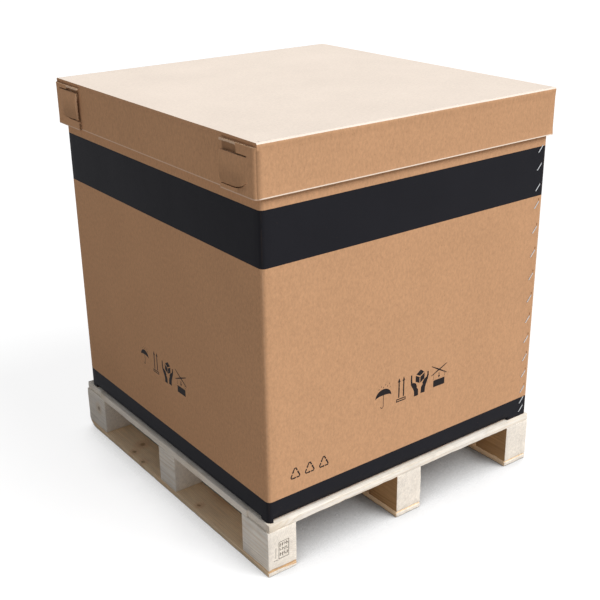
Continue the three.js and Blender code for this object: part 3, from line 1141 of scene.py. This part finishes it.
@dataclass
class Sleeve:
    """The corrugated sleeve, with its wire stitches."""

    finishes: Finishes
    board: float = 7 * MM
    skin: float = 3 * MM
    rim_depth: float = 0.5 * MM
    most_outward: float = 0.3
    panel_step: float = 26 * MM
    swell_depth: float = 1.3 * MM
    swell_zone: float = 15 * MM
    swell_noise: Point = (0.6, 0.8)
    swell_scale: float = 3.1
    seam_reach: float = 48 * MM
    seam_margin: float = 20 * MM
    stitch_ease: float = 0.3 * MM

    def __post_init__(self) -> None:
        """Reads the sleeve's place from the frame."""
        self.low, self.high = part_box("sleeve")
        self.centre = (self.low + self.high) / 2
        self.half = (self.high - self.low) / 2

    def swell(self, point: Vector) -> Vector:
        """How far the filled box pushes its panels out, least at folds, foot and rim.

        Args:
            point: A point on the sleeve.

        Returns:
            The shift of that point, outwards across its panel.
        """
        offset = point - self.centre
        share = Vector([offset[i] / self.half[i] for i in range(3)])
        height = max(0.0, 1 - share.z**2)
        shift = Vector((0, 0, 0))
        for axis, other in ((0, 1), (1, 0)):
            if self.half[axis] - abs(offset[axis]) > self.swell_zone:
                continue
            width = max(0.0, 1 - share[other] ** 2)
            if axis == 1 and offset.y < 0 and self.half.x - offset.x < self.seam_reach + self.seam_margin:
                width = 0.0
            uneven = self.swell_noise[0] + self.swell_noise[1] * noise.noise(point * self.swell_scale)
            shift[axis] += math.copysign(self.swell_depth * width * height * uneven, offset[axis])
        return shift

    def build(self) -> None:
        """Makes the sleeve and dresses its stitches."""
        piece = Workpiece.cut_again("sleeve")
        piece.slice_evenly(self.low, self.high, self.panel_step)
        piece.move(self.swell)
        self._mark_faces(piece)
        piece.finished(
            "corrugated_sleeve",
            Body.PALLET_BOX,
            Slot.SLEEVE_BOARD,
            [self.finishes.sleeve_liner, self.finishes.raw_edge, self.finishes.sleeve_inner],
            ["sleeve"],
        )
        for node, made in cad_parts.items():
            if node.startswith("wire_stitch_"):
                self._dress_stitch(made)

    def _mark_faces(self, piece: Workpiece) -> None:
        """Gives the inside and the rim their own materials, and maps the rim's edge."""
        edge_map = piece.mesh.loops.layers.uv.new("edge")
        for face in piece.mesh.faces:
            face.normal_update()
            at = face.calc_center_median()
            if face.normal.z < SQUARE_ON or at.z < self.high.z - self.rim_depth:
                offset = at - self.centre
                gap = min(self.half.x - abs(offset.x), self.half.y - abs(offset.y))
                looks_out = face.normal.x * offset.x / self.half.x + face.normal.y * offset.y / self.half.y
                if gap > self.skin and looks_out < self.most_outward and at.z > self.low.z + self.skin:
                    face.material_index = SleeveFace.INNER
                continue
            face.material_index = SleeveFace.RAW_EDGE
            side = self.half.x - abs(at.x - self.centre.x) < self.half.y - abs(at.y - self.centre.y)
            for loop in face.loops:
                offset = loop.vert.co - self.centre
                gap = self.half.x - abs(offset.x) if side else self.half.y - abs(offset.y)
                loop[edge_map].uv = (offset.y if side else offset.x, gap / self.board)

    def _dress_stitch(self, stitch: bpy.types.Object) -> None:
        """Gives a packed stitch its wire finish and rounded edges."""
        stitch.data.materials.clear()
        stitch.data.materials.append(self.finishes.wire)
        weld = stitch.modifiers.new("joined", "WELD")
        weld.merge_threshold = JOIN_DISTANCE
        ease = stitch.modifiers.new("eased", "BEVEL")
        ease.width = self.stitch_ease
        ease.segments = 2
        ease.limit_method = "ANGLE"
        ease.angle_limit = SMOOTH_ANGLE


@dataclass(frozen=True)
class LidStrap:
    """A strap pressed out of one of the lid's corner flaps."""

    low: float
    high: float
    root: float = 26 * MM
    bend: float = 25 * MM
    free_end: float = 118 * MM
    bulge: float = 4.5 * MM


class LidFace(IntEnum):
    """The numbers of the lid's materials."""

    LINER = 0
    RAW_EDGE = 1
    TOP = 2
    TORN_PAPER = 3


@dataclass
class Lid:
    """The telescopic lid with its locked corners."""

    finishes: Finishes
    step: float = 24 * MM
    skirt_step: float = 5 * MM
    skirt_margins: Point = (10 * MM, 12 * MM)
    strap_step: float = 2.6 * MM
    strap_zone: Point = (118 * MM, 60 * MM)
    front_strap_heights: Point = (12.5 * MM, 76.5 * MM)
    rear_strap_heights: Point = (22.5 * MM, 86.5 * MM)
    skirt_reach: float = 10 * MM
    flap_step: float = 0.3 * MM
    skin: float = 0.1 * MM
    board: float = 6 * MM
    torn_depth: float = 12.5 * MM
    torn_drop: float = 1.6 * MM
    fold_reach: float = 9 * MM
    crease: float = 2.6 * MM
    sag: float = 0.8 * MM
    flare: float = 1.3 * MM
    stray: float = 0.5 * MM
    fade: float = 20 * MM
    arc_ends: float = 0.5 * MM
    off_arc: float = 0.2 * MM
    least_inside: float = 0.3 * MM
    top_depth: float = 3 * MM
    fold_depth: float = 8 * MM
    torn_strip: float = 2 * MM
    strap_shade: Point = (0.28, 0.38)

    def __post_init__(self) -> None:
        """Reads the lid's place from the frame."""
        self.low, self.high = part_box("lid")
        self.centre = (self.low + self.high) / 2
        self.half_y = (self.high.y - self.low.y) / 2
        self.half_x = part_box("sleeve")[1].x + self.skirt_reach
        self.outer_x = self.half_x + self.skin
        self.flap_x = self.half_x + self.flap_step
        self.torn_foot = self.high.z - self.torn_depth
        self.front_strap = LidStrap(*(self.low.z + height for height in self.front_strap_heights))
        self.rear_strap = LidStrap(*(self.low.z + height for height in self.rear_strap_heights))

    def build(self) -> None:
        """Makes the lid."""
        piece = Workpiece.cut_again("lid")
        piece.slice_evenly(self.low, self.high, self.step)
        foot, crown = self.skirt_margins
        piece.slice(Axis.Z, spaced(self.low.z + foot, self.high.z - crown, self.skirt_step))
        for end in (-1, 1):
            ends = sorted(self.centre.y + end * (self.half_y - reach) for reach in self.strap_zone)
            piece.slice(Axis.Y, spaced(*ends, self.strap_step))
        # Each point's painted shade and light on the straps goes into the pressed layer.
        pressed = piece.mesh.verts.layers.float.new("pressed")
        for vertex in piece.mesh.verts:
            vertex[pressed] = self._painted_strap_shade(vertex.co)
        piece.move(self._creased)
        bmesh.ops.remove_doubles(piece.mesh, verts=piece.mesh.verts[:], dist=JOIN_DISTANCE)
        piece.move(self._uneven)
        piece.move(self._pressed)
        self._mark_faces(piece)
        piece.finished(
            "telescopic_lid",
            Body.LID,
            Slot.LID_BOARD,
            [
                self.finishes.lid_liner,
                self.finishes.raw_edge,
                self.finishes.sunlit_top,
                self.finishes.torn_paper,
            ],
            ["lid"],
        )

    def _strap(self, point: Vector) -> LidStrap:
        """The strap of the lid's nearer end."""
        return self.front_strap if point.y < self.centre.y else self.rear_strap

    def _painted_strap_shade(self, point: Vector) -> float:
        """The painted shade and light of the board at a point: a strap is darker at its lower edge and
        lighter at its top, as light falls on its rounded face.
        """
        reach = self.half_y - abs(point.y - self.centre.y)
        strap = self._strap(point)
        if abs(point.x) < self.outer_x or not strap.low - MM < point.z < strap.high + MM:
            return 1.0
        if not strap.root < reach < strap.free_end + MM:
            return 1.0
        share = clamped((point.z - strap.low) / (strap.high - strap.low))
        blend = clamped((reach - strap.root) / strap.bend)
        dark, gain = self.strap_shade
        return 1 + blend * (gain * share * share * (3 - 2 * share) - dark)

    def _pressed(self, point: Vector) -> Vector:
        """How a strap rounds off over its height, and how its top strip is torn."""
        shift = Vector((0, 0, 0))
        reach = self.half_y - abs(point.y - self.centre.y)
        strap = self._strap(point)
        if abs(point.x) <= self.outer_x or reach > strap.free_end + MM:
            return shift
        if strap.low < point.z < strap.high:
            bulge = strap.bulge * clamped((reach - strap.root) / strap.bend)
            share = (2 * point.z - strap.low - strap.high) / (strap.high - strap.low)
            crumple = 1 + 0.5 * noise.noise(point * 34)
            shift.x -= math.copysign(min(1.0, 0.85 * abs(share) ** 2.6 * crumple) * bulge, point.x)
        elif self.torn_foot - 0.5 * MM < point.z < self.torn_foot + MM and reach > strap.root:
            ragged = noise.noise(Vector((point.y * 210, point.x, 1.3))) + 0.6
            shift.z -= self.torn_drop * max(0.0, ragged) * clamped(reach / strap.free_end)
        return shift

    def _creased(self, point: Vector) -> Vector:
        """How the folds round the top are creased to a tighter edge than their arcs."""
        shift = Vector((0, 0, 0))
        below = self.high.z - point.z
        if below > self.fold_reach - self.arc_ends:
            return shift
        for axis, half in ((0, self.half_x), (1, self.half_y)):
            offset = point[axis] - self.centre[axis]
            inside = half - abs(offset)
            if self.fold_reach / 2 < inside < self.fold_reach and below < MM:
                shift.z = below
                continue
            from_arc = math.hypot(self.fold_reach - inside, self.fold_reach - below) - self.fold_reach
            on_arc = self.least_inside < inside < self.fold_reach - self.arc_ends
            if abs(from_arc) > self.off_arc or not on_arc:
                continue
            wanted = 0.0 if inside < below else self.crease
            shift[axis] = math.copysign(inside - wanted, offset)
            shift.z = below - (self.crease - wanted)
        return shift

    def _uneven(self, point: Vector) -> Vector:
        """How the hand-folded lid strays inwards from its true form."""
        shift = Vector((0, 0, 0))
        if point.z > self.high.z - self.board * 1.5:
            depth = self.sag * (0.5 + 0.5 * noise.noise(Vector((point.x, point.y, 0)) * 5))
            shift.z -= max(0.0, depth)
        if abs(point.y - self.centre.y) > self.half_y - self.board - MM:
            wave = noise.noise(Vector((point.x * 4, point.y * 4, 3.7)))
            flare = self.flare * clamped((point.z - self.low.z - 1.5 * MM) / (4 * MM))
            fade = clamped((self.high.z - point.z) / self.fade)
            shift.y -= math.copysign((flare + self.stray * (1 + wave)) * fade, point.y - self.centre.y)
        return shift

    def _mark_faces(self, piece: Workpiece) -> None:
        """Gives the top, the torn strips and the cut edges their own materials, and maps the edges."""
        edge_map = piece.mesh.loops.layers.uv.new("edge")
        top = (self.high.z - self.low.z) / 2
        for face in piece.mesh.faces:
            face.normal_update()
            normal = face.normal
            at = face.calc_center_median() - self.centre
            # The front and rear fold crests take the top's paler liner as a painted highlight.
            crest = normal.z > SQUARE_ON or (normal.z > 0.5 and abs(normal.y) > 0.5)
            if crest and at.z > top - self.top_depth:
                face.material_index = LidFace.TOP
                continue
            reach = self.half_y - abs(at.y)
            torn = at.z + self.centre.z > self.torn_foot - self.torn_strip
            torn = torn and self.strap_zone[1] < reach < self.strap_zone[0] + MM
            if abs(at.x) > self.outer_x and torn and normal.z < 0.5:
                face.material_index = LidFace.TORN_PAPER
                continue
            level = abs(normal.z) > SQUARE_ON
            on_flap = abs(at.x) > self.half_x - self.board - MM
            free_end = abs(normal.y) > SQUARE_ON and on_flap and abs(at.y) < self.half_y - 2 * self.board
            if (level and at.z > top - self.fold_depth) or not (level or free_end):
                continue
            face.material_index = LidFace.RAW_EDGE
            for loop in face.loops:
                offset = loop.vert.co - self.centre
                along = offset.z if free_end else (offset.y if on_flap else offset.x)
                gap = (abs(offset.x) - self.flap_x) if on_flap else (self.half_y - abs(offset.y))
                loop[edge_map].uv = (along, gap / self.board)


class Stencil:
    """A flat mark made of convex patches, in millimetres from its lower left corner."""

    def __init__(self) -> None:
        """Starts with no patch."""
        self.patches: list[list[Point]] = []

    def patch(self, *points: Point) -> "Stencil":
        """Adds one convex patch, its corners in order."""
        self.patches.append(list(points))
        return self

    def stroke(self, points: Sequence[Point], widths: Sequence[float]) -> "Stencil":
        """Adds a line that may widen along its way.

        Args:
            points: The line's points.
            widths: Its width at each point.

        Returns:
            The stencil.
        """
        edges = []
        for index, (point, width) in enumerate(zip(points, widths)):
            before = Vector(points[max(0, index - 1)])
            after = Vector(points[min(len(points) - 1, index + 1)])
            ahead = (after - before).normalized()
            side = Vector((-ahead.y, ahead.x)) * (width / 2)
            edges.append((Vector(point) - side, Vector(point) + side))
        for (low_a, high_a), (low_b, high_b) in zip(edges, edges[1:]):
            self.patch(tuple(low_a), tuple(low_b), tuple(high_b), tuple(high_a))
        return self

    def line(self, start: Point, end: Point, width: float) -> "Stencil":
        """Adds a straight line of one width."""
        return self.stroke([start, end], [width, width])


def arc(centre: Point, radii: Point, start: float, end: float, steps: int) -> list[Point]:
    """Points along part of an ellipse.

    Args:
        centre: The ellipse's centre.
        radii: Its two radii.
        start: The first angle in degrees.
        end: The last angle in degrees.
        steps: How many steps lie between them.

    Returns:
        The points.
    """
    angles = [math.radians(start + (end - start) * step / steps) for step in range(steps + 1)]
    return [(centre[0] + radii[0] * math.cos(a), centre[1] + radii[1] * math.sin(a)) for a in angles]


def keep_dry() -> Stencil:
    """An umbrella under drops of rain."""
    mark = Stencil()
    outer = arc((23, 36), (23, 20), 180, 0, 16)
    inner = arc((23, 36), (22.5, 5), 180, 0, 16)
    for index in range(16):
        mark.patch(inner[index], inner[index + 1], outer[index + 1], outer[index])
    mark.line((23, 41), (23, 14), 1.6)
    hook = arc((19.5, 14), (3.5, 4.5), 0, -180, 8)
    mark.stroke(hook, [1.6] * len(hook))
    for x, z in ((10, 58), (17, 63), (23, 60), (29, 65), (34, 60), (40, 65), (42, 56)):
        mark.line((x - 0.8, z - 1.6), (x + 0.8, z + 1.6), 1.2)
    return mark


def this_way_up() -> Stencil:
    """Two upright arrows on a double bar."""
    mark = Stencil()
    for x in (9, 25):
        mark.line((x, 12), (x, 60), 4.2)
        mark.patch((x - 4.6, 57), (x + 4.6, 57), (x, 69))
    mark.line((0, 7.5), (33, 7.5), 2.9)
    mark.line((0, 1.5), (33, 1.5), 2.9)
    mark.line((1, 1), (1, 8), 2)
    mark.line((32, 1), (32, 8), 2)
    return mark


def handle_with_care() -> Stencil:
    """Two hands round a crate."""
    mark = Stencil()
    mark.patch((28, 53), (28, 39), (40, 46), (40, 59.5))
    mark.patch((26, 53), (26, 39), (14.5, 45), (14.5, 59.5))
    mark.patch((27, 55.5), (39, 62), (29, 70), (16, 62))
    left = [(2.5, 64), (2.5, 50), (4, 42), (12, 32), (17, 23), (17, 11)]
    mark.stroke(left, [3.4, 4.4, 5.5, 9, 12, 12])
    mark.stroke([(7, 44), (14, 39), (18, 32)], [3, 5, 3])
    right = [(50, 60), (50, 52), (48, 45), (42, 35), (37, 26), (36, 13)]
    mark.stroke(right, [3.4, 4.4, 6, 9, 12, 12])
    mark.stroke([(47, 47), (40, 42), (35, 35)], [3, 5, 3])
    return mark


def do_not_stack() -> Stencil:
    """A crossed-out load above a crate."""
    mark = Stencil()
    mark.patch((7, 16), (42, 16), (42, 33), (7, 33))
    for x in (7, 42):
        for z in (36, 41, 46):
            mark.line((x, z), (x, z + 3), 1.2)
    mark.line((24, 39), (24, 49), 2)
    mark.patch((20.5, 42), (27.5, 42), (24, 36.5))
    mark.stroke([(0, 47), (24, 57), (48, 67)], [1.6, 3.4, 1.6])
    mark.stroke([(0, 71), (24, 57), (48, 43)], [1.6, 3.4, 1.6])
    return mark


def recycling() -> Stencil:
    """A triangle of three bent arrows."""
    mark = Stencil()
    corners = [(1.5, 1.5), (28.5, 1.5), (15, 28.5)]
    for index, corner in enumerate(corners):
        here = Vector(corner)
        after = Vector(corners[(index + 1) % 3])
        before = Vector(corners[(index + 2) % 3])
        start = here.lerp(before, 0.38)
        bend_in = here.lerp(before, 0.12)
        bend_out = here.lerp(after, 0.12)
        end = here.lerp(after, 0.44)
        mark.stroke([tuple(start), tuple(bend_in), tuple(bend_out), tuple(end)], [3.3] * 4)
        ahead = (after - here).normalized()
        side = Vector((-ahead.y, ahead.x)) * 3
        mark.patch(tuple(end - side), tuple(end + ahead * 4), tuple(end + side))
    return mark


def blurred_stamp() -> Stencil:
    """A blurred stamp: a frame round rows of plain dashes."""
    draw = random.Random(5)
    mark = Stencil()
    mark.line((12, 2), (36, 2), 1.2)
    mark.line((13, 40), (37, 40), 1.0)
    mark.line((12.5, 2), (13.5, 40), 1.2)
    mark.line((36, 3), (37, 40), 1.2)
    mark.line((0, 1), (10, 1), 1.0)
    mark.line((5, 6), (6, 30), 0.9)
    for z in (8, 19, 30):
        for x in (16, 21.5, 27, 32):
            mark.line((x, z + draw.uniform(-1, 1)), (x + draw.uniform(-1, 1), z + 7), draw.uniform(1, 2))
            mark.line((x, z + draw.uniform(0, 6)), (x + 3.4, z + draw.uniform(0, 6)), draw.uniform(0.8, 1.4))
    return mark


def wire_dent() -> Stencil:
    """The dent beside a stitch, as a patch of painted shade."""
    mark = Stencil()
    mark.patch(*arc((0, 0), (1.5, 3.2), 0, 330, 11))
    return mark


class Panel(Enum):
    """An upright face that marks are pressed on, by where its outside looks."""

    FRONT = 0
    LEFT = 1

    def point(self, across: float, height: float, out: float) -> Vector:
        """A point of the panel, from its own measures to the part's frame."""
        if self is Panel.FRONT:
            return Vector((across, -out, height))
        return Vector((-out, -across, height))


@dataclass
class Marks:
    """Marks pressed on the panels as thin films of ink."""

    name: str
    slot: Slot
    material: bpy.types.Material
    swell: Callable[[Vector], Vector] | None = None
    film: float = 0.12 * MM
    sunk: float = 0.4 * MM
    piece: Workpiece = field(default_factory=Workpiece)

    def press(self, stencil: Stencil, panel: Panel, corner: Point, out: float, scale: float = 1.0) -> None:
        """Presses one mark.

        Args:
            stencil: The mark.
            panel: The face that it is pressed on.
            corner: The mark's lower left corner on that face, in metres.
            out: How far out the face lies, in metres.
            scale: The mark's size against its stencil.
        """
        mesh = self.piece.mesh
        for patch in stencil.patches:
            outline = []
            for x, z in patch:
                flat = panel.point(corner[0] + x * scale * MM, corner[1] + z * scale * MM, out)
                shift = self.swell(flat) if self.swell else Vector((0, 0, 0))
                outline.append(mesh.verts.new(flat + shift - panel.point(0, 0, self.sunk)))
            base = mesh.faces.new(outline)
            grown = bmesh.ops.extrude_face_region(mesh, geom=[base], use_keep_orig=True)["geom"]
            raised = [item for item in grown if isinstance(item, bmesh.types.BMVert)]
            bmesh.ops.translate(mesh, vec=panel.point(0, 0, self.sunk + self.film), verts=raised)
            film = {face for vertex in (*raised, *outline) for face in vertex.link_faces}
            bmesh.ops.recalc_face_normals(mesh, faces=list(film))

    def finish(self) -> bpy.types.Object:
        """Makes the marks one object."""
        return self.piece.finished(self.name, Body.PALLET_BOX, self.slot, [self.material])


@dataclass(frozen=True)
class Placed:
    """A mark's drawing, and where its lower left corner lies on its panel."""

    draw: Callable[[], Stencil]
    panel: Panel
    across: float
    height: float
    scale: float = 1.0


@dataclass
class Printing:
    """Every printed mark, the stamp and the painted shade of the stitching's dents."""

    finishes: Finishes
    sleeve: Sleeve
    marks: tuple[Placed, ...] = (
        Placed(keep_dry, Panel.FRONT, -0.104, 0.293),
        Placed(this_way_up, Panel.FRONT, -0.043, 0.3025, 0.86),
        Placed(handle_with_care, Panel.FRONT, -0.001, 0.289, 1.06),
        Placed(do_not_stack, Panel.FRONT, 0.063, 0.289),
        Placed(recycling, Panel.FRONT, -0.338, 0.2155, 0.98),
        Placed(recycling, Panel.FRONT, -0.300, 0.2155, 0.98),
        Placed(recycling, Panel.FRONT, -0.262, 0.2155, 0.98),
        Placed(keep_dry, Panel.LEFT, -0.112, 0.3025, 0.80),
        Placed(this_way_up, Panel.LEFT, -0.0535, 0.3065, 0.80),
        Placed(handle_with_care, Panel.LEFT, -0.010, 0.289, 0.98),
        Placed(do_not_stack, Panel.LEFT, 0.0515, 0.282),
    )
    stamp_corner: Point = (-0.3885, 0.034)
    stamp_scale: float = 1.1
    dented: Point = (0.19, 0.69)
    dent_from_stitch: Point = (-0.5 * MM, 3.5 * MM)

    def build(self) -> None:
        """Makes the marks."""
        low = self.sleeve.low
        outs = {Panel.FRONT: -low.y, Panel.LEFT: -low.x}
        middles = {Panel.FRONT: 0.0, Panel.LEFT: self.sleeve.centre.y}
        ink = Marks("printed_handling_marks", Slot.SLEEVE_BOARD, self.finishes.ink, self.sleeve.swell)
        for mark in self.marks:
            corner = (mark.across - middles[mark.panel], mark.height)
            ink.press(mark.draw(), mark.panel, corner, outs[mark.panel], mark.scale)
        ink.finish()

        stamp = Marks("stamp_on_block", Slot.TIMBER, self.finishes.stamp)
        block_face = -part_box("block_front_left")[0].y
        stamp.press(blurred_stamp(), Panel.FRONT, self.stamp_corner, block_face, self.stamp_scale)
        stamp.finish()

        # Painted shade of the dents beside the stitches.
        dents = Marks("stitch_dent_shades", Slot.SLEEVE_BOARD, self.finishes.dent)
        right, up = self.dent_from_stitch
        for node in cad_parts:
            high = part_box(node)[1]
            if node.startswith("wire_stitch_") and self.dented[0] < high.z < self.dented[1]:
                dents.press(wire_dent(), Panel.FRONT, (high.x + right, high.z + up), outs[Panel.FRONT])
        dents.finish()


def main() -> None:
    """Builds the studio and the box, and reports each piece."""
    logging.basicConfig(level=logging.INFO, format="%(name)s %(message)s")
    Studio().build()
    finishes = Finishes()
    Pallet(finishes).build()
    sleeve = Sleeve(finishes)
    sleeve.build()
    Printing(finishes, sleeve).build()
    Lid(finishes).build()


if __name__ == "__main__":
    main()
